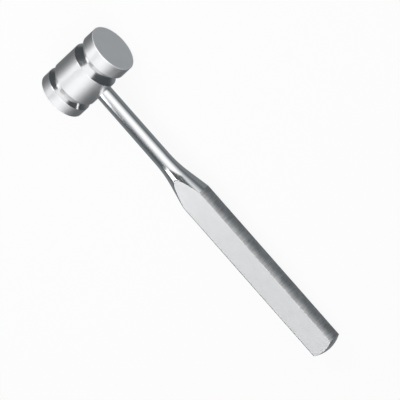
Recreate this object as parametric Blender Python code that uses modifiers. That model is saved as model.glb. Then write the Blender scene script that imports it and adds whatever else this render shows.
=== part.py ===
"""Surgical mallet: a weighted steel head with two striking faces, on a one-piece steel handle.

Metres, +Z up. The mallet lies on its side: the handle runs along X with the head at +X, the head's own
axis runs along Y with the front striking face at -Y, and the grip's two flats face +Z and -Z. The origin
is at the middle of the overall length and width, on the surface that the head rests on.
"""

import math

import bmesh
import bpy
from mathutils import Vector

# Head, along its own axis from the front striking face to the rear one.
HEAD_DIAMETER = 0.0300
HEAD_LENGTH = 0.0450
FRONT_DISC = 0.0082
FRONT_GROOVE = 0.0074
FRONT_GROOVE_DEPTH = 0.0034
REAR_GROOVE = 0.0052
REAR_GROOVE_DEPTH = 0.0026
REAR_DISC = 0.0065
FACE_EDGE_ROUND = 0.0005
GROOVE_EDGE_ROUND = 0.0002

# Inside the head.
STRIKING_PLATE = 0.0050
CAP_WALL = 0.0017
SPIGOT_WALL = 0.0016
SEAT_DEPTH = 0.0040
ROD_DIAMETER = 0.0040
ROD_ENGAGEMENT = 0.0026

# Handle, with lengths from the head's axis to the butt. It enters the head a little behind its middle.
HANDLE_OFFSET = 0.0007
REACH = 0.2070
NECK_DIAMETER_AT_HEAD = 0.0098
NECK_DIAMETER_AT_GRIP = 0.0100
SHOULDER_END = 0.0929
SHOULDER_ANGLE = math.radians(12.0)
SHOULDER_FILLET = 0.0720
GRIP_DIAMETER = 0.0189
GRIP_THICKNESS = 0.0127
BUTT_DOME_HEIGHT = 0.0027
BUTT_EDGE_ROUND = 0.0003
TENON_CHAMFER = 0.0005

# Clearance between pieces, and how finely curves are cut into flats.
FIT = 0.0003
CHORD_ERROR = 0.00001
HEAD_SIDES = 72
HANDLE_SIDES = 64
SMALL_SIDES = 32
SHARP_ANGLE = math.radians(30.0)

# Sizes that follow from those above.
HEAD_R = HEAD_DIAMETER / 2
HALF_HEAD = HEAD_LENGTH / 2
SPIGOT_R = HEAD_R - max(FRONT_GROOVE_DEPTH, REAR_GROOVE_DEPTH) - CAP_WALL - FIT
BORE_R = SPIGOT_R - SPIGOT_WALL
PLATE_INSIDE = HALF_HEAD - STRIKING_PLATE
ROD_R = ROD_DIAMETER / 2
TENON_R = NECK_DIAMETER_AT_HEAD / 2
SOCKET_END = BORE_R + SEAT_DEPTH
GRIP_R = GRIP_DIAMETER / 2

STEEL = (0.74, 0.75, 0.76)
DARK_STEEL = (0.52, 0.54, 0.55)
LEAD = (0.26, 0.27, 0.29)


def clear_scene():
    for obj in list(bpy.data.objects):
        bpy.data.objects.remove(obj, do_unlink=True)


def new_collection(name):
    collection = bpy.data.collections.new(name)
    bpy.context.scene.collection.children.link(collection)
    return collection


def metal(name, colour, roughness):
    material = bpy.data.materials.new(name)
    material.use_nodes = True
    shader = material.node_tree.nodes["Principled BSDF"]
    shader.inputs["Base Color"].default_value = (*colour, 1.0)
    shader.inputs["Metallic"].default_value = 1.0
    shader.inputs["Roughness"].default_value = roughness
    material.diffuse_color = (*colour, 1.0)
    return material


def arc(centre, radius, start, end):
    """Points on a circle from angle start to angle end, both included."""
    step = 2 * math.acos(1 - CHORD_ERROR / radius)
    count = max(2, math.ceil(abs(end - start) / step))
    angles = [start + (end - start) * i / count for i in range(count + 1)]
    return [centre + radius * Vector((math.cos(a), math.sin(a))) for a in angles]


def rounded(corners, closed=False):
    """A profile from (radius, height, round) corners, each rounded by an arc that touches both its sides."""
    places = [Vector(corner[:2]) for corner in corners]
    points = []
    for i, (_, _, fillet) in enumerate(corners):
        here = places[i]
        if fillet == 0 or (not closed and i in (0, len(corners) - 1)):
            points.append(here)
            continue
        back = (places[i - 1] - here).normalized()
        onward = (places[(i + 1) % len(places)] - here).normalized()
        half_corner = back.angle(onward) / 2
        centre = here + (back + onward).normalized() * fillet / math.sin(half_corner)
        touch = here + back * fillet / math.tan(half_corner) - centre
        leave = here + onward * fillet / math.tan(half_corner) - centre
        start = math.atan2(touch.y, touch.x)
        turn = math.remainder(math.atan2(leave.y, leave.x) - start, math.tau)
        points += arc(centre, fillet, start, start + turn)
    return points


def turned(name, profile, sides, closed=False):
    """A solid turned about its own Z axis. The profile runs down its outer side, from top to bottom."""
    outline = bmesh.new()
    points = [outline.verts.new((radius, 0.0, height)) for radius, height in profile]
    for first, second in zip(points, points[1:]):
        outline.edges.new((first, second))
    if closed:
        outline.edges.new((points[-1], points[0]))
    mesh = bpy.data.meshes.new(name)
    outline.to_mesh(mesh)
    outline.free()
    obj = bpy.data.objects.new(name, mesh)
    screw = obj.modifiers.new("turn", "SCREW")
    screw.axis = "Z"
    screw.angle = math.tau
    screw.steps = sides
    screw.render_steps = sides
    screw.use_merge_vertices = True
    screw.merge_threshold = 0.00001
    return obj


def place(obj, collection, parent, rotation=(0.0, 0.0, 0.0), material=None):
    """Puts a piece on the middle of the head or of the socket, with its own Z axis turned to where it lies."""
    collection.objects.link(obj)
    obj.parent = parent
    obj.rotation_euler = rotation
    if material:
        obj.data.materials.append(material)
    return obj


def cutter(name, parent, collection, shape):
    """A hidden helper from a bmesh, given about the middle of the head or of the socket."""
    mesh = bpy.data.meshes.new(name)
    shape.to_mesh(mesh)
    shape.free()
    obj = place(bpy.data.objects.new(name, mesh), collection, parent)
    obj.hide_render = True
    obj.display_type = "WIRE"
    return obj


def round_bar(radius, start, end, sides):
    """A cylinder between two points."""
    start, end = Vector(start), Vector(end)
    shape = bmesh.new()
    bmesh.ops.create_cone(
        shape, cap_ends=True, segments=sides, radius1=radius, radius2=radius, depth=(end - start).length
    )
    turn = (end - start).to_track_quat("Z", "Y").to_matrix().to_4x4()
    turn.translation = (start + end) / 2
    bmesh.ops.transform(shape, matrix=turn, verts=shape.verts)
    return shape


def slab(length_from, length_to, width, thickness):
    """A box along X, centred on Y and Z."""
    shape = bmesh.new()
    bmesh.ops.create_cube(shape, size=1.0)
    bmesh.ops.scale(shape, vec=(length_to - length_from, width, thickness), verts=shape.verts)
    bmesh.ops.translate(shape, vec=((length_from + length_to) / 2, 0.0, 0.0), verts=shape.verts)
    return shape


def cut(obj, tool, operation="DIFFERENCE"):
    boolean = obj.modifiers.new(tool.name, "BOOLEAN")
    boolean.operation = operation
    boolean.solver = "EXACT"
    boolean.object = tool


def head_barrel():
    """The middle of the head: a tube whose ends are half grooves and spigots for the caps."""
    front = HALF_HEAD - FRONT_DISC
    rear = -HALF_HEAD + REAR_DISC
    front_seam = front - FRONT_GROOVE / 2 - FIT / 2
    rear_seam = rear + REAR_GROOVE / 2 + FIT / 2
    spigot_end = PLATE_INSIDE - FIT
    corners = [
        (BORE_R, spigot_end, 0),
        (SPIGOT_R, spigot_end, 0),
        (SPIGOT_R, front_seam, 0),
        (HEAD_R - FRONT_GROOVE_DEPTH, front_seam, 0),
        (HEAD_R, front - FRONT_GROOVE, GROOVE_EDGE_ROUND),
        (HEAD_R, rear + REAR_GROOVE, GROOVE_EDGE_ROUND),
        (HEAD_R - REAR_GROOVE_DEPTH, rear_seam, 0),
        (SPIGOT_R, rear_seam, 0),
        (SPIGOT_R, -spigot_end, 0),
        (BORE_R, -spigot_end, 0),
    ]
    return turned("head_barrel", rounded(corners, closed=True), HEAD_SIDES, closed=True)


def striking_cap(name, disc, groove, groove_depth):
    """A cup that closes one end of the head: striking plate, socket for the spigot and half a groove."""
    disc_edge = HALF_HEAD - disc
    seam = disc_edge - groove / 2 + FIT / 2
    hole_end = PLATE_INSIDE + ROD_ENGAGEMENT
    corners = [
        (0.0, HALF_HEAD, 0),
        (HEAD_R, HALF_HEAD, FACE_EDGE_ROUND),
        (HEAD_R, disc_edge, GROOVE_EDGE_ROUND),
        (HEAD_R - groove_depth, seam, 0),
        (SPIGOT_R + FIT, seam, 0),
        (SPIGOT_R + FIT, PLATE_INSIDE, 0),
        (ROD_R + FIT, PLATE_INSIDE, 0),
        (ROD_R + FIT, hole_end, 0),
        (0.0, hole_end, 0),
    ]
    return turned(name, rounded(corners), HEAD_SIDES)


def weight(name, tenon_side):
    """A dense slug that fills the bore between one side of the handle's tenon and a cap."""
    outer_end = PLATE_INSIDE - FIT
    inner_end = tenon_side + FIT
    corners = [
        (ROD_R + FIT, outer_end, 0),
        (BORE_R - FIT, outer_end, 0),
        (BORE_R - FIT, inner_end, 0),
        (ROD_R + FIT, inner_end, 0),
    ]
    return turned(name, rounded(corners, closed=True), SMALL_SIDES, closed=True)


def tie_rod():
    """The rod on the head's axis, from one cap to the other, through the weights and the tenon."""
    half_length = PLATE_INSIDE + ROD_ENGAGEMENT - FIT
    corners = [
        (0.0, half_length, 0),
        (ROD_R, half_length, FIT),
        (ROD_R, -half_length, FIT),
        (0.0, -half_length, 0),
    ]
    return turned("tie_rod", rounded(corners), SMALL_SIDES)


def handle():
    """Tenon, neck, flared shoulder, grip and domed butt, turned as one piece with the tenon on top."""
    tenon_end = SOCKET_END - FIT
    neck_r = NECK_DIAMETER_AT_GRIP / 2
    shoulder_start = SHOULDER_END - (GRIP_R - neck_r) / math.tan(SHOULDER_ANGLE)
    butt_rim = REACH - BUTT_DOME_HEIGHT
    dome_r = (GRIP_R**2 + BUTT_DOME_HEIGHT**2) / (2 * BUTT_DOME_HEIGHT)
    dome_angle = math.asin(GRIP_R / dome_r)
    corners = [
        (0.0, tenon_end, 0),
        (TENON_R - TENON_CHAMFER, tenon_end, 0),
        (TENON_R, tenon_end - TENON_CHAMFER, 0),
        (TENON_R, -HEAD_R, 0),
        (neck_r, -shoulder_start, SHOULDER_FILLET),
        (GRIP_R, -SHOULDER_END, 0),
        (GRIP_R, -butt_rim + BUTT_EDGE_ROUND, 0),
    ]
    dome_centre = Vector((0.0, dome_r - REACH))
    dome = arc(dome_centre, dome_r, dome_angle - math.pi / 2, -math.pi / 2)
    dome[0] = Vector((GRIP_R - BUTT_EDGE_ROUND, dome[0].y))
    return turned("handle", rounded(corners) + dome, HANDLE_SIDES)


def finished(obj):
    """Turns the modifiers' result into the piece's own mesh and shades it smooth but for real edges."""
    graph = bpy.context.evaluated_depsgraph_get()
    mesh = bpy.data.meshes.new_from_object(obj.evaluated_get(graph))
    obj.modifiers.clear()
    obj.data = mesh
    mesh.name = obj.name
    mesh.shade_smooth()
    mesh.set_sharp_from_angle(angle=SHARP_ANGLE)


def main():
    clear_scene()
    parts = new_collection("surgical_mallet")
    cutters = new_collection("cutters")

    centre = bpy.data.objects.new("head_centre", None)
    centre.location = ((REACH - HEAD_R) / 2, 0.0, HEAD_R)
    parts.objects.link(centre)
    socket = bpy.data.objects.new("socket_centre", None)
    socket.location = (0.0, HANDLE_OFFSET, 0.0)
    socket.parent = centre
    parts.objects.link(socket)

    to_front = (math.pi / 2, 0.0, 0.0)
    to_rear = (-math.pi / 2, 0.0, 0.0)
    to_head = (0.0, math.pi / 2, 0.0)

    barrel = place(head_barrel(), parts, centre, to_front, metal("barrel_satin_steel", STEEL, 0.32))
    front_cap = striking_cap("front_striking_cap", FRONT_DISC, FRONT_GROOVE, FRONT_GROOVE_DEPTH)
    place(front_cap, parts, centre, to_front, metal("front_cap_satin_steel", STEEL, 0.34))
    rear_cap = striking_cap("rear_striking_cap", REAR_DISC, REAR_GROOVE, REAR_GROOVE_DEPTH)
    place(rear_cap, parts, centre, to_rear, metal("rear_cap_satin_steel", STEEL, 0.34))
    front_weight = weight("front_weight", TENON_R - HANDLE_OFFSET)
    place(front_weight, parts, centre, to_front, metal("front_weight_lead", LEAD, 0.60))
    rear_weight = weight("rear_weight", TENON_R + HANDLE_OFFSET)
    place(rear_weight, parts, centre, to_rear, metal("rear_weight_lead", LEAD, 0.60))
    place(tie_rod(), parts, centre, to_front, metal("tie_rod_steel", DARK_STEEL, 0.40))
    bar = place(handle(), parts, socket, to_head, metal("handle_satin_steel", STEEL, 0.28))

    tenon_socket = round_bar(
        TENON_R + FIT, (-HEAD_DIAMETER, 0.0, 0.0), (SOCKET_END, 0.0, 0.0), HANDLE_SIDES
    )
    cut(barrel, cutter("tenon_socket", socket, cutters, tenon_socket))
    flats = slab(-REACH - HEAD_R, HEAD_R, 2 * GRIP_DIAMETER, GRIP_THICKNESS)
    cut(bar, cutter("grip_flats", socket, cutters, flats), "INTERSECT")
    cross_hole = round_bar(
        ROD_R + FIT, (0.0, -HEAD_R, 0.0), (0.0, HEAD_R, 0.0), SMALL_SIDES
    )
    cut(bar, cutter("tenon_cross_hole", centre, cutters, cross_hole))

    bpy.context.view_layer.update()
    for obj in parts.objects:
        if obj.type == "MESH":
            finished(obj)


main()
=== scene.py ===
"""The looks of the surgical mallet: fine surfaces, steel finishes, soft light and the camera.

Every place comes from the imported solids. The two weights and the tie rod are shown as they are packed, with
better materials; the barrel, the two striking caps and the handle are remade here at a finer resolution.
Lengths are in metres.
"""

import math

import bmesh
import bpy
import numpy as np
from mathutils import Matrix, Vector


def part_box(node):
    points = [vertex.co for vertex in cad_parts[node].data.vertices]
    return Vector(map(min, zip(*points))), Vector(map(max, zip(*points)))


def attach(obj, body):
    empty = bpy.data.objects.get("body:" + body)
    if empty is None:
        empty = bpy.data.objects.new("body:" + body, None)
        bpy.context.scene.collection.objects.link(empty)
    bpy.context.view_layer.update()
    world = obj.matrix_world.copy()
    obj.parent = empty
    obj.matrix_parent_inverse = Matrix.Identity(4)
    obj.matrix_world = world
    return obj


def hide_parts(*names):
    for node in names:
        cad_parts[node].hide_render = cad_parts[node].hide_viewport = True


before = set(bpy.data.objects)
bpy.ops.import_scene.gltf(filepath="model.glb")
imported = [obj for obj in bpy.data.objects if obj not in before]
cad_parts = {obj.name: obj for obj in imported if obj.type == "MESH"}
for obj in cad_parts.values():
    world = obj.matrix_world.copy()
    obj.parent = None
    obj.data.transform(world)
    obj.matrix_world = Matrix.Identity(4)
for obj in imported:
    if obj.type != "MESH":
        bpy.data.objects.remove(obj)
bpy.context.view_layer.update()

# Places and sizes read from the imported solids.
barrel_low, barrel_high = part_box("head_barrel")
front_low, front_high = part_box("front_striking_cap")
rear_low, rear_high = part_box("rear_striking_cap")
handle_low, handle_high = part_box("handle")
rod_low, rod_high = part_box("tie_rod")
weight_low, weight_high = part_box("front_weight")

HEAD = Vector(
    (
        (barrel_low.x + barrel_high.x) / 2,
        (front_low.y + rear_high.y) / 2,
        (barrel_low.z + barrel_high.z) / 2,
    )
)
HEAD_R = (barrel_high.x - barrel_low.x) / 2
HALF_HEAD = (rear_high.y - front_low.y) / 2
FRONT_SEAM = HEAD.y - front_high.y
REAR_SEAM = rear_low.y - HEAD.y
SPIGOT_END = barrel_high.y - HEAD.y
HANDLE_Y = (handle_low.y + handle_high.y) / 2 - HEAD.y
GRIP_R = (handle_high.y - handle_low.y) / 2
HALF_GRIP = (handle_high.z - handle_low.z) / 2
REACH = HEAD.x - handle_low.x
TENON_END = handle_high.x - HEAD.x
ROD_R = (rod_high.x - rod_low.x) / 2
ROD_END = rod_high.y - HEAD.y
WEIGHT_R = (weight_high.x - weight_low.x) / 2

# The head's outside, and the fits inside it. Seams that are FIT wide in the solids are
# hairlines on the outside here.
FRONT_GROOVE = 0.0074
FRONT_GROOVE_DEPTH = 0.0034
REAR_GROOVE = 0.0052
REAR_GROOVE_DEPTH = 0.0026
FACE_EDGE_ROUND = 0.0003
GROOVE_EDGE_ROUND = 0.0002
SPIGOT_WALL = 0.0016
FIT = 0.0003
HAIRLINE = 0.00004
BORE_R = WEIGHT_R + FIT
SPIGOT_R = WEIGHT_R + FIT + SPIGOT_WALL

# The handle's outside. The shoulder's end is measured from the head's axis. The grip's side stops
# BUTT_EDGE_TRIM before the butt's rim, where the dome's arc starts.
NECK_R_AT_HEAD = 0.0098 / 2
NECK_R_AT_GRIP = 0.0100 / 2
SHOULDER_END = 0.0929
SHOULDER_ANGLE = math.radians(12.0)
SHOULDER_FILLET = 0.0720
SHOULDER_EDGE_ROUND = 0.0010
BUTT_DOME_HEIGHT = 0.0027
BUTT_EDGE_ROUND = 0.0003
BUTT_EDGE_TRIM = 0.0001
FLAT_EDGE_BLEND = 0.00012
TENON_CHAMFER = 0.0005

# How finely curves are cut.
CHORD_ERROR = 0.0000005
HEAD_SIDES = 288
SOCKET_SIDES = 192
CROSS_HOLE_SIDES = 48
FLAT_COLUMNS = 40
SIDE_COLUMNS = 36
COLUMN_CROWDING = 2.4
WIDEST_SIDE = math.radians(78.0)
STRAIGHT_STEP = 0.0060
NECK_STEP = 0.0006
SHOULDER_STEP = 0.00015
RUNOUT_STEP = 0.00006
RUNOUT_MARGIN = 0.0003
STRAIGHT_WITHIN = 1e-7
WELD = 1e-8
HEAD_SHARP_DEGREES = 20.0
HANDLE_SHARP_DEGREES = 35.0


# ---------------------------------------------------------------- profiles and meshes


def arc(centre, radius, start, end):
    """Points on a circle from angle start to angle end, both included."""
    step = 2 * math.acos(1 - CHORD_ERROR / radius)
    count = max(4, math.ceil(abs(end - start) / step))
    angles = [start + (end - start) * i / count for i in range(count + 1)]
    return [centre + radius * Vector((math.cos(a), math.sin(a))) for a in angles]


def rounded(corners, closed=False):
    """A profile from (radius, height, round) corners, each rounded by an arc that touches both its sides."""
    places = [Vector(corner[:2]) for corner in corners]
    points = []
    for i, (_, _, fillet) in enumerate(corners):
        here = places[i]
        if fillet == 0 or (not closed and i in (0, len(corners) - 1)):
            points.append(here)
            continue
        back = (places[i - 1] - here).normalized()
        onward = (places[(i + 1) % len(places)] - here).normalized()
        half_corner = back.angle(onward) / 2
        centre = here + (back + onward).normalized() * fillet / math.sin(half_corner)
        touch = here + back * fillet / math.tan(half_corner) - centre
        leave = here + onward * fillet / math.tan(half_corner) - centre
        start = math.atan2(touch.y, touch.x)
        turn = math.remainder(math.atan2(leave.y, leave.x) - start, math.tau)
        points += arc(centre, fillet, start, start + turn)
    return points


def place_object(name, data):
    """Puts a mesh, a light or a camera in the scene."""
    obj = bpy.data.objects.new(name, data)
    bpy.context.scene.collection.objects.link(obj)
    return obj


def place_shape(name, shape):
    """Puts a bmesh in the scene and frees it."""
    mesh = bpy.data.meshes.new(name)
    shape.to_mesh(mesh)
    shape.free()
    return place_object(name, mesh)


def grid_mesh(name, rings, closed_rings):
    """A skin over equal rings of points. The last ring may meet the first, and equal points are welded."""
    shape = bmesh.new()
    rows = [[shape.verts.new(point) for point in ring] for ring in rings]
    pairs = list(zip(rows, rows[1:]))
    if closed_rings:
        pairs.append((rows[-1], rows[0]))
    for first, second in pairs:
        for j in range(len(first)):
            after = (j + 1) % len(first)
            shape.faces.new((first[j], second[j], second[after], first[after]))
    bmesh.ops.remove_doubles(shape, verts=shape.verts, dist=WELD)
    bmesh.ops.recalc_face_normals(shape, faces=shape.faces)
    return place_shape(name, shape)


def turned(name, profile, facing, closed=False):
    """A solid turned about the head's axis. Heights run towards facing: -1 the front, +1 the rear."""
    angles = np.arange(HEAD_SIDES) * math.tau / HEAD_SIDES
    rings = []
    for radius, height in profile:
        ring = [
            HEAD + Vector((radius * math.cos(a), facing * height, radius * math.sin(a))) for a in angles
        ]
        rings.append(ring)
    return grid_mesh(name, rings, closed)


def bar(name, start, end, radius, sides):
    """A round cutter between two points."""
    shape = bmesh.new()
    bmesh.ops.create_cone(
        shape, cap_ends=True, segments=sides, radius1=radius, radius2=radius, depth=(end - start).length
    )
    turn = (end - start).to_track_quat("Z", "Y").to_matrix().to_4x4()
    turn.translation = (start + end) / 2
    bmesh.ops.transform(shape, matrix=turn, verts=shape.verts)
    return place_shape(name, shape)


def bake(obj):
    """Turns a piece's modifiers into its own mesh."""
    graph = bpy.context.evaluated_depsgraph_get()
    mesh = bpy.data.meshes.new_from_object(obj.evaluated_get(graph))
    obj.modifiers.clear()
    obj.data = mesh
    mesh.name = obj.name


def drill(obj, cutter):
    """Cuts a piece by a cutter, bakes the result into its mesh and removes the cutter."""
    hole = obj.modifiers.new("hole", "BOOLEAN")
    hole.operation = "DIFFERENCE"
    hole.solver = "EXACT"
    hole.object = cutter
    bake(obj)
    bpy.data.objects.remove(cutter, do_unlink=True)


def smooth(obj, sharp_degrees):
    """Shades a piece smooth, but for real edges, with normals that follow its larger faces."""
    obj.data.shade_smooth()
    obj.data.set_sharp_from_angle(angle=math.radians(sharp_degrees))
    even = obj.modifiers.new("even", "WEIGHTED_NORMAL")
    even.mode = "FACE_AREA"
    even.keep_sharp = True
    bake(obj)


# ---------------------------------------------------------------- the four remade pieces


def head_barrel():
    """The middle of the head, with half of each groove, a spigot at each end and the handle's socket."""
    corners = [
        (BORE_R, SPIGOT_END, 0),
        (SPIGOT_R, SPIGOT_END, 0),
        (SPIGOT_R, FRONT_SEAM - FIT, 0),
        (HEAD_R - FRONT_GROOVE_DEPTH, FRONT_SEAM - HAIRLINE, 0),
        (HEAD_R, FRONT_SEAM - FIT / 2 - FRONT_GROOVE / 2, GROOVE_EDGE_ROUND),
        (HEAD_R, FIT / 2 + REAR_GROOVE / 2 - REAR_SEAM, GROOVE_EDGE_ROUND),
        (HEAD_R - REAR_GROOVE_DEPTH, HAIRLINE - REAR_SEAM, 0),
        (SPIGOT_R, FIT - REAR_SEAM, 0),
        (SPIGOT_R, -SPIGOT_END, 0),
        (BORE_R, -SPIGOT_END, 0),
    ]
    obj = turned("barrel_finish", rounded(corners, closed=True), -1, closed=True)
    handle_top = HEAD + Vector((0.0, HANDLE_Y, 0.0))
    inner_end = handle_top + Vector((TENON_END + FIT, 0.0, 0.0))
    mouth = handle_top - Vector((2 * HEAD_R, 0.0, 0.0))
    drill(obj, bar("socket", inner_end, mouth, NECK_R_AT_HEAD + HAIRLINE, SOCKET_SIDES))
    smooth(obj, HEAD_SHARP_DEGREES)
    return obj


def striking_cap(name, facing, seam, groove, groove_depth):
    """A cup with the striking face, the disc's side and half a groove."""
    disc_edge = seam - FIT / 2 + groove / 2
    socket_r = WEIGHT_R + 2 * FIT + SPIGOT_WALL
    plate_inside = SPIGOT_END + FIT
    corners = [
        (0.0, HALF_HEAD, 0),
        (HEAD_R, HALF_HEAD, FACE_EDGE_ROUND),
        (HEAD_R, disc_edge, GROOVE_EDGE_ROUND),
        (HEAD_R - groove_depth, seam, 0),
        (socket_r, seam, 0),
        (socket_r, plate_inside, 0),
        (ROD_R + FIT, plate_inside, 0),
        (ROD_R + FIT, ROD_END + FIT, 0),
        (0.0, ROD_END + FIT, 0),
    ]
    obj = turned(name, rounded(corners), facing)
    smooth(obj, HEAD_SHARP_DEGREES)
    return obj


def handle_profile():
    """(radius, distance from the head's axis towards the butt) along the handle, from tenon to butt."""
    shoulder_start = SHOULDER_END - (GRIP_R - NECK_R_AT_GRIP) / math.tan(SHOULDER_ANGLE)
    rim = REACH - BUTT_DOME_HEIGHT
    dome_r = (GRIP_R**2 + BUTT_DOME_HEIGHT**2) / (2 * BUTT_DOME_HEIGHT)
    dome_angle = math.asin(GRIP_R / dome_r)
    corners = [
        (0.0, -TENON_END, 0),
        (NECK_R_AT_HEAD - TENON_CHAMFER, -TENON_END, 0),
        (NECK_R_AT_HEAD, TENON_CHAMFER - TENON_END, 0),
        (NECK_R_AT_HEAD, HEAD_R, 0),
        (NECK_R_AT_GRIP, shoulder_start, SHOULDER_FILLET),
        (GRIP_R, SHOULDER_END, SHOULDER_EDGE_ROUND),
        (GRIP_R, rim, BUTT_EDGE_ROUND),
        (0.0, REACH, 0),
    ]
    side = [point for point in rounded(corners) if point.y < rim - BUTT_EDGE_TRIM]
    dome_centre = Vector((0.0, REACH - dome_r))
    dome = arc(dome_centre, dome_r, math.pi / 2 - dome_angle, math.pi / 2)
    return side + dome


def stepped(profile, longest):
    """The same profile with extra points, so that no step is longer than longest(first, second) allows."""
    points = [profile[0]]
    for first, second in zip(profile, profile[1:]):
        span = (second - first).length
        count = max(1, math.ceil(span / longest(first, second)))
        points += [first.lerp(second, i / count) for i in range(1, count + 1)]
    return points


def handle_step(first, second):
    """Short steps where the flats run out into the shoulder and the dome, long ones elsewhere."""
    radius = max(first.x, second.x)
    straight = abs(first.x - second.x) <= STRAIGHT_WITHIN
    if straight or second.y < HEAD_R:
        return STRAIGHT_STEP
    if abs(radius - HALF_GRIP) < RUNOUT_MARGIN:
        return RUNOUT_STEP
    return SHOULDER_STEP if radius > HALF_GRIP else NECK_STEP


def section_angles(radius):
    """Angles round the handle at one station, gathered at the four places where a flat meets a round side."""
    edge = WIDEST_SIDE
    if radius > HALF_GRIP / math.sin(edge):
        edge = math.asin(HALF_GRIP / radius)
    side, flat = (
        np.tanh(COLUMN_CROWDING * np.linspace(-1, 1, columns + 1)[:-1]) / math.tanh(COLUMN_CROWDING)
        for columns in (SIDE_COLUMNS, FLAT_COLUMNS)
    )
    quarter = math.pi / 2
    return np.concatenate(
        [
            side * edge,
            quarter + flat * (quarter - edge),
            2 * quarter + side * edge,
            3 * quarter + flat * (quarter - edge),
        ]
    )


def soft_lower(values, limit, blend):
    """The smaller of values and limit, with a small round where they cross."""
    overlap = np.maximum(blend - np.abs(values - limit), 0.0)
    return np.minimum(values, limit) - overlap**2 / (4 * blend)


def handle():
    """Tenon, neck, shoulder, grip and butt as one skin, with the two flats running out in arches."""
    rings = []
    for radius, distance in stepped(handle_profile(), handle_step):
        angles = section_angles(radius)
        across = radius * np.cos(angles)
        up = radius * np.abs(np.sin(angles))
        up = np.maximum(soft_lower(up, HALF_GRIP, FLAT_EDGE_BLEND), 0.0) * np.sign(np.sin(angles))
        x = HEAD.x - distance
        y = HEAD.y + HANDLE_Y
        rings.append([(x, y + across[j], HEAD.z + up[j]) for j in range(len(angles))])
    obj = grid_mesh("handle_finish", rings, False)
    tenon_middle = HEAD + Vector((0.0, HANDLE_Y, 0.0))
    reach = Vector((0.0, HEAD_R, 0.0))
    drill(obj, bar("cross_hole", tenon_middle - reach, tenon_middle + reach, ROD_R + FIT, CROSS_HOLE_SIDES))
    smooth(obj, HANDLE_SHARP_DEGREES)
    return obj


# ---------------------------------------------------------------- node materials

MM_PER_M = 1000.0
STEEL = (0.652, 0.656, 0.662)
LEAD = (0.26, 0.27, 0.29)
ROD = (0.45, 0.46, 0.47)

# Noises: the span of values that is stretched over a whole tone, and how much each one counts.
MARKS_SPAN = (0.25, 0.75)
CLOUDS_SPAN = (0.3, 0.7)
MARKS_SHARE = 0.7
MARKS_RELIEF_MM = 0.002
CLOUDS_SHARE = 0.3
CLOUDS_TINT = 0.03
CLOUDS_PER_MM = 0.16
MOTTLE_PER_MM = 0.9
MOTTLE_TINT = 0.2
MOTTLE_ROUGHNESS = 0.08


class Nodes:
    """A small helper that builds one material's or world's node tree."""

    def __init__(self, tree):
        self.tree = tree

    def add(self, kind, **settings):
        """A new node with its settings."""
        node = self.tree.nodes.new(kind)
        for key, value in settings.items():
            setattr(node, key, value)
        return node

    def put(self, source, socket):
        """Links a node's output, or sets a plain value, on a socket."""
        if isinstance(source, bpy.types.NodeSocket):
            self.tree.links.new(source, socket)
        else:
            socket.default_value = source

    def put_all(self, sources, node):
        """Fills a node's first inputs in order and gives its first output."""
        for socket, source in zip(node.inputs, sources):
            self.put(source, socket)
        return node.outputs[0]

    def math(self, operation, *values):
        """A sum on plain values or outputs."""
        return self.put_all(values, self.add("ShaderNodeMath", operation=operation))

    def remap(self, value, low, high, to_low, to_high, kind="LINEAR"):
        """A value carried from low..high to to_low..to_high, and held there outside."""
        node = self.add("ShaderNodeMapRange", interpolation_type=kind, clamp=True)
        return self.put_all((value, low, high, to_low, to_high), node)

    def vector(self, x, y, z):
        """Three values as one vector."""
        return self.put_all((x, y, z), self.add("ShaderNodeCombineXYZ"))

    def noise(self, vector, scale, detail, rough):
        """Noise from 0 to 1."""
        node = self.add("ShaderNodeTexNoise")
        self.put(vector, node.inputs["Vector"])
        node.inputs["Scale"].default_value = scale
        node.inputs["Detail"].default_value = detail
        node.inputs["Roughness"].default_value = rough
        return node.outputs["Fac"]

    def place(self):
        """The point's place about the head's centre, in millimetres, as a vector and as x, y and z."""
        coordinates = self.add("ShaderNodeTexCoord").outputs["Object"]
        shift = self.add("ShaderNodeVectorMath", operation="SUBTRACT")
        self.put(coordinates, shift.inputs[0])
        shift.inputs[1].default_value = HEAD
        grow = self.add("ShaderNodeVectorMath", operation="SCALE")
        self.put(shift.outputs[0], grow.inputs[0])
        grow.inputs["Scale"].default_value = MM_PER_M
        split = self.add("ShaderNodeSeparateXYZ")
        self.put(grow.outputs[0], split.inputs[0])
        return grow.outputs[0], *split.outputs

    def mix(self, factor, first, second):
        """A colour between two others."""
        node = self.add("ShaderNodeMix", data_type="RGBA")
        self.put(factor, node.inputs["Factor"])
        self.put(first, node.inputs["A"])
        self.put(second, node.inputs["B"])
        return node.outputs["Result"]


def shade(colour, amount):
    """A colour made lighter or darker."""
    return (*(min(1.0, c * amount) for c in colour), 1.0)


def blank_material(name):
    """A new material and the helper for its nodes."""
    material = bpy.data.materials.new(name)
    material.use_nodes = True
    return material, Nodes(material.node_tree)


def make_metal(nodes, colour, roughness, height, relief):
    """Wires a colour, a roughness and a bump, relief millimetres high, into a material's metal shader."""
    shader = nodes.tree.nodes["Principled BSDF"]
    nodes.put(colour, shader.inputs["Base Color"])
    nodes.put(roughness, shader.inputs["Roughness"])
    shader.inputs["Metallic"].default_value = 1.0
    bump = nodes.add("ShaderNodeBump")
    bump.inputs["Strength"].default_value = 1.0
    bump.inputs["Distance"].default_value = relief / MM_PER_M
    nodes.put(height, bump.inputs["Height"])
    nodes.put(bump.outputs[0], shader.inputs["Normal"])


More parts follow.
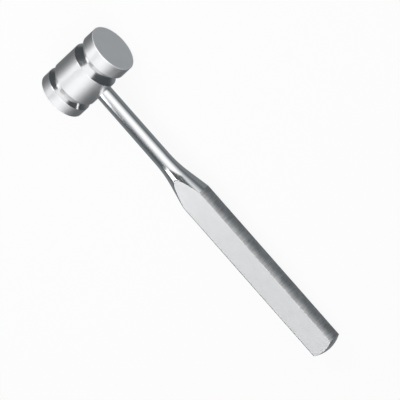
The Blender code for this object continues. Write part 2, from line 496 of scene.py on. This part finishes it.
def steel(name, brightness, roughness, grain, contrast=0.06, uneven=0.05):
    """Steel with the marks of its last finish.

    grain(nodes, x, y, z) gives the coordinate that the marks follow: fine across them, coarse along them.
    """
    material, nodes = blank_material(name)
    place, x, y, z = nodes.place()
    marks = nodes.noise(grain(nodes, x, y, z), 1.0, detail=4.0, rough=0.62)
    clouds = nodes.noise(place, CLOUDS_PER_MM, detail=3.0, rough=0.55)
    tone = nodes.math(
        "ADD",
        nodes.remap(marks, *MARKS_SPAN, 0.0, MARKS_SHARE),
        nodes.remap(clouds, *CLOUDS_SPAN, 0.0, CLOUDS_SHARE),
    )
    dark = shade(STEEL, brightness * (1 - contrast - CLOUDS_TINT))
    light = shade(STEEL, brightness * (1 + contrast + CLOUDS_TINT))
    spread = nodes.remap(marks, *MARKS_SPAN, roughness - uneven, roughness + uneven)
    make_metal(nodes, nodes.mix(tone, dark, light), spread, marks, MARKS_RELIEF_MM)
    return material


def dull_metal(name, colour, roughness, pits):
    """Cast or plain-turned metal with a mottled, slightly pitted skin. The pits' depth is in millimetres."""
    material, nodes = blank_material(name)
    place, *_ = nodes.place()
    mottle = nodes.noise(place, MOTTLE_PER_MM, detail=5.0, rough=0.6)
    tone = nodes.remap(mottle, *CLOUDS_SPAN, 0.0, 1.0)
    colours = nodes.mix(tone, shade(colour, 1 - MOTTLE_TINT), shade(colour, 1 + MOTTLE_TINT))
    spread = nodes.remap(mottle, *CLOUDS_SPAN, roughness - MOTTLE_ROUGHNESS, roughness + MOTTLE_ROUGHNESS)
    make_metal(nodes, colours, spread, mottle, pits)
    return material


def stretched(*per_mm):
    """Straight marks, from how often they change per millimetre along x, y and z."""

    def grain(nodes, *place):
        return nodes.vector(*(nodes.math("MULTIPLY", value, rate) for value, rate in zip(place, per_mm)))

    return grain


def round_marks(across, along):
    """Marks that run round the head's axis."""
    return stretched(along, across, along)


def long_marks(across, along):
    """Marks that run along the handle."""
    return stretched(along, across, across)


def cross_marks(across, along):
    """Marks that run round the handle."""
    return stretched(across, along, along)


def ring_marks(across, along):
    """Rings about the head's axis, on a face."""

    def grain(nodes, x, y, z):
        squares = nodes.math("ADD", nodes.math("MULTIPLY", x, x), nodes.math("MULTIPLY", z, z))
        return stretched(across, along, along)(nodes, nodes.math("POWER", squares, 0.5), x, z)

    return grain


# ---------------------------------------------------------------- which face has which finish

# A face belongs to a surface when its middle is this near to it and its normal turns this far out of it.
FACE_NEAR = 0.0004
DISC_NEAR = 0.0004
SPIGOT_CLEAR = 0.0006
DOME_NEAR = 0.0001
FLAT_NEAR = 0.00005
DISC_OUTWARD = 0.97
GROOVE_OUTWARD = 0.2
DOME_OUTWARD = 0.4
FLAT_OUTWARD = 0.9999
LEAST_RADIUS = 1e-9
# The neck's polish starts just inside the socket, at this share of the head's radius.
NECK_START = 0.9


def paint(obj, finishes, choose):
    """Gives a piece its finishes. choose(centre, normal) names one face's finish, about the head's centre."""
    names = list(finishes)
    for name in names:
        obj.data.materials.append(finishes[name])
    for face in obj.data.polygons:
        face.material_index = names.index(choose(face.center - HEAD, face.normal))


def head_zone(centre, normal):
    """Which finish a face of the head has."""
    radius = math.hypot(centre.x, centre.z)
    outward = (normal.x * centre.x + normal.z * centre.z) / max(radius, LEAST_RADIUS)
    if abs(centre.y) > HALF_HEAD - FACE_NEAR:
        return "face"
    if outward > DISC_OUTWARD and radius > HEAD_R - DISC_NEAR:
        return "turned"
    if outward > GROOVE_OUTWARD and radius > SPIGOT_R + SPIGOT_CLEAR:
        # Groove faces that look towards the rear get a darker copy of the groove's steel: painted shade in
        # the grooves.
        return "groove" if normal.y < 0 else "groove_rear_painted_shade"
    return "inside"


def handle_zone(centre, normal):
    """Which finish a face of the handle has."""
    distance = -centre.x
    if distance > REACH - BUTT_DOME_HEIGHT - DOME_NEAR and abs(normal.x) > DOME_OUTWARD:
        return "dome"
    if abs(normal.z) > FLAT_OUTWARD and abs(centre.z) > HALF_GRIP - FLAT_NEAR:
        return "flat"
    if distance > SHOULDER_END:
        return "side"
    return "neck" if distance > HEAD_R * NECK_START else "inside"


# ---------------------------------------------------------------- build the pieces

inside = steel("machined_inside", 0.80, 0.42, round_marks(6.0, 0.6))
head_finishes = {
    "turned": steel("satin_turned_steel", 0.88, 0.46, round_marks(9.0, 0.25), contrast=0.03, uneven=0.03),
    "groove": steel("polished_groove_steel", 0.98, 0.18, round_marks(7.0, 0.3), contrast=0.03, uneven=0.02),
    # A satin and darker copy of the groove's steel, for the groove faces that look towards the rear: satin
    # finish with painted shade.
    "groove_rear_painted_shade": steel(
        "satin_groove_steel_painted_shade", 0.78, 0.52, round_marks(7.0, 0.3), contrast=0.03, uneven=0.02
    ),
    "face": steel("satin_face_steel", 1.28, 0.66, ring_marks(6.0, 0.15), contrast=0.02, uneven=0.04),
    "inside": inside,
}
handle_finishes = {
    "neck": steel("polished_neck_steel", 1.12, 0.12, long_marks(1.5, 0.1), contrast=0.02, uneven=0.02),
    "flat": steel("satin_flat_steel", 1.02, 0.46, long_marks(6.0, 0.15), contrast=0.03, uneven=0.03),
    "side": steel("cross_ground_steel", 0.70, 0.46, cross_marks(1.4, 0.12), contrast=0.42, uneven=0.06),
    "dome": steel("satin_dome_steel", 1.15, 0.44, cross_marks(3.0, 0.4), contrast=0.03, uneven=0.04),
    "inside": inside,
}

barrel = head_barrel()
front_cap = striking_cap("front_cap_finish", -1, FRONT_SEAM, FRONT_GROOVE, FRONT_GROOVE_DEPTH)
rear_cap = striking_cap("rear_cap_finish", 1, REAR_SEAM, REAR_GROOVE, REAR_GROOVE_DEPTH)
grip = handle()

for piece, node in (
    (barrel, "head_barrel"),
    (front_cap, "front_striking_cap"),
    (rear_cap, "rear_striking_cap"),
):
    paint(piece, head_finishes, head_zone)
    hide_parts(node)
    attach(piece, "root")
paint(grip, handle_finishes, handle_zone)
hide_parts("handle")
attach(grip, "root")

cast_lead = dull_metal("cast_lead", LEAD, 0.55, 0.03)
turned_rod = dull_metal("plain_turned_rod", ROD, 0.35, 0.005)
for node, material in (("front_weight", cast_lead), ("rear_weight", cast_lead), ("tie_rod", turned_rod)):
    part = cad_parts[node]
    if not part.material_slots:
        raise RuntimeError(node + " has no material slot")
    for slot in part.material_slots:
        slot.material = material


# ---------------------------------------------------------------- floor, light and camera

# The camera's axes, the width that it sees, and how far right of and below the tenon's middle it is aimed.
VIEW_RIGHT = Vector((-0.6601, -0.6443, -0.3861))
VIEW_UP = Vector((0.7509, -0.5801, -0.3158))
VIEW_WIDTH = 0.2253
AIM_RIGHT = 0.06378
AIM_DOWN = 0.07170
CAMERA_DISTANCE = 3.0
CAMERA_REACH = 20.0
SENSOR_MM = 36.0

FLOOR_SIZE = 8.0
FLOOR_CELLS = 8
FLOOR_GLOW = 0.93
FLOOR_SHADE = 0.03

# The studio's lights, placed by angles in degrees. Lean is measured from straight up, positive towards the
# rear of the head; side is measured out of that plane, positive along the handle towards the head. A window's
# four edges are where it starts, is full, is still full and ends. The front panel's width is how far a
# direction is out of the plane, over its distance in the plane, where the upright part counts half.
WHITE = (1.0, 1.0, 1.0, 1.0)
COOL = (0.90, 0.99, 1.05, 1.0)
COOL_TO_WHITE = (0.2, 1.0)
ROOM_LEVEL = 0.095
FRONT_LEVEL = 1.32
FRONT_LEAN = (-118.0, -50.0, -41.0, 30.0)
FRONT_WIDTH = (0.45, 0.54)
UPRIGHT_SHARE = 0.5
LEFT_LEVEL = 3.6
LEFT_SIDE = (2.0, 7.0, 57.0, 63.0)
LEFT_LEAN = (-27.0, -22.0, 28.0, 33.0)
# The table that the metal mirrors: brightness, and the lean where it starts and where it is full.
TABLE_FRONT = (0.17, -104.0, -130.0)
TABLE_REAR = (0.18, 30.0, 95.0)
TABLE_SIDE = (30.0, 50.0)
# Two soft panels near the mallet. A panel faces its target, from the direction and distance given.
PANELS = [
    {
        "name": "side_panel",
        "target": Vector((0.0, 0.0, 0.0)),
        "direction": Vector((0.743, -0.100, 0.660)),
        "distance": 0.65,
        "width": 0.27,
        "length": 0.70,
        "brightness": 5.6,
    },
    {
        "name": "head_panel",
        "target": HEAD,
        "direction": Vector((0.120, 0.400, 0.910)),
        "distance": 0.35,
        "width": 0.09,
        "length": 0.25,
        "brightness": 2.5,
    },
]


def floor():
    """A pale floor, tilted by the little that lets the head and the butt both rest on it."""
    butt = Vector((handle_low.x + BUTT_DOME_HEIGHT, 0.0, handle_low.z))
    span = Vector((HEAD.x, 0.0, HEAD.z)) - butt
    tilt = math.asin(HEAD_R / math.hypot(span.x, span.z)) - math.atan2(span.z, span.x)
    shape = bmesh.new()
    bmesh.ops.create_grid(shape, x_segments=FLOOR_CELLS, y_segments=FLOOR_CELLS, size=FLOOR_SIZE / 2)
    turn = Matrix.Rotation(tilt, 4, "Y")
    turn.translation = butt
    bmesh.ops.transform(shape, matrix=turn, verts=shape.verts)
    obj = place_shape("floor", shape)
    material, nodes = blank_material("pale_floor")
    material.node_tree.nodes.clear()
    output = nodes.add("ShaderNodeOutputMaterial")
    glow = nodes.add("ShaderNodeEmission")
    glow.inputs["Color"].default_value = WHITE
    glow.inputs["Strength"].default_value = FLOOR_GLOW
    matt = nodes.add("ShaderNodeBsdfDiffuse")
    matt.inputs["Color"].default_value = shade(WHITE[:3], FLOOR_SHADE)
    pale = nodes.put_all((glow.outputs[0], matt.outputs[0]), nodes.add("ShaderNodeAddShader"))
    nodes.put(pale, output.inputs["Surface"])
    obj.data.materials.append(material)
    obj.visible_glossy = False


def window(nodes, value, edges):
    """1 between the two inner edges, falling smoothly to 0 at the two outer ones."""
    rise = nodes.remap(value, edges[0], edges[1], 0.0, 1.0, kind="SMOOTHSTEP")
    fall = nodes.remap(value, edges[2], edges[3], 1.0, 0.0, kind="SMOOTHSTEP")
    return nodes.math("MULTIPLY", rise, fall)


def studio():
    """What the metal mirrors: a dim room, a front panel, a left panel and a table. The camera sees white."""
    world = bpy.data.worlds.new("studio")
    bpy.context.scene.world = world
    world.use_nodes = True
    nodes = Nodes(world.node_tree)
    world.node_tree.nodes.clear()
    output = nodes.add("ShaderNodeOutputWorld")
    split = nodes.add("ShaderNodeSeparateXYZ")
    direction = nodes.add("ShaderNodeTexCoord").outputs["Generated"]
    nodes.put(direction, split.inputs[0])
    x, y, z = split.outputs
    degrees = 180 / math.pi
    lean = nodes.math("MULTIPLY", nodes.math("ARCTAN2", y, z), degrees)
    side = nodes.math("MULTIPLY", nodes.math("ARCSINE", x), degrees)
    upright = nodes.math("MULTIPLY", z, z)
    depth = nodes.math("MULTIPLY_ADD", upright, UPRIGHT_SHARE**2, nodes.math("MULTIPLY", y, y))
    spread = nodes.math("DIVIDE", nodes.math("ABSOLUTE", x), nodes.math("SQRT", depth))
    front_width = nodes.remap(spread, *FRONT_WIDTH, 1.0, 0.0, kind="SMOOTHSTEP")
    front = nodes.math("MULTIPLY", window(nodes, lean, FRONT_LEAN), front_width)
    butt_side = nodes.math("MULTIPLY", side, -1.0)
    left = nodes.math("MULTIPLY", window(nodes, butt_side, LEFT_SIDE), window(nodes, lean, LEFT_LEAN))
    strength = ROOM_LEVEL
    for light, level in ((front, FRONT_LEVEL), (left, LEFT_LEVEL)):
        strength = nodes.math("MULTIPLY_ADD", light, level, strength)
    table_middle = nodes.remap(nodes.math("ABSOLUTE", side), *TABLE_SIDE, 1.0, 0.0, kind="SMOOTHSTEP")
    for level, start, full in (TABLE_FRONT, TABLE_REAR):
        table = nodes.remap(lean, start, full, 0.0, level, kind="SMOOTHSTEP")
        strength = nodes.math("MULTIPLY_ADD", table, table_middle, strength)
    room = nodes.add("ShaderNodeBackground")
    tint = nodes.remap(strength, *COOL_TO_WHITE, 0.0, 1.0)
    nodes.put(nodes.mix(tint, COOL, WHITE), room.inputs["Color"])
    nodes.put(strength, room.inputs["Strength"])
    seen = nodes.add("ShaderNodeBackground")
    seen.inputs["Color"].default_value = WHITE
    for_camera = nodes.add("ShaderNodeLightPath").outputs["Is Camera Ray"]
    blend = nodes.put_all((for_camera, room.outputs[0], seen.outputs[0]), nodes.add("ShaderNodeMixShader"))
    nodes.put(blend, output.inputs["Surface"])


def panel(name, target, direction, distance, width, length, brightness):
    """A soft rectangular light that faces its target and that the camera doesn't see."""
    data = bpy.data.lights.new(name, "AREA")
    data.shape = "RECTANGLE"
    data.size = width
    data.size_y = length
    data.energy = math.pi * width * length * brightness
    obj = place_object(name, data)
    back = direction.normalized()
    across = Vector((0.0, 1.0, 0.0)).cross(back).normalized()
    pose = Matrix((across, back.cross(across), back)).transposed().to_4x4()
    pose.translation = target + distance * back
    obj.matrix_world = pose
    obj.visible_camera = False


def camera():
    """A long lens, from above the front of the head, rolled so that the handle runs down to the right."""
    right = VIEW_RIGHT.normalized()
    back = right.cross(VIEW_UP).normalized()
    up = back.cross(right)
    data = bpy.data.cameras.new("camera")
    data.sensor_width = SENSOR_MM
    data.lens = SENSOR_MM * CAMERA_DISTANCE / VIEW_WIDTH
    data.clip_end = CAMERA_REACH
    obj = place_object("camera", data)
    aim = HEAD + Vector((0.0, HANDLE_Y, 0.0)) + AIM_RIGHT * right - AIM_DOWN * up
    pose = Matrix((right, up, back)).transposed().to_4x4()
    pose.translation = aim + CAMERA_DISTANCE * back
    obj.matrix_world = pose
    bpy.context.scene.camera = obj


floor()
studio()
for settings in PANELS:
    panel(**settings)
camera()
bpy.context.scene.view_settings.view_transform = "Standard"

bpy.context.view_layer.update()
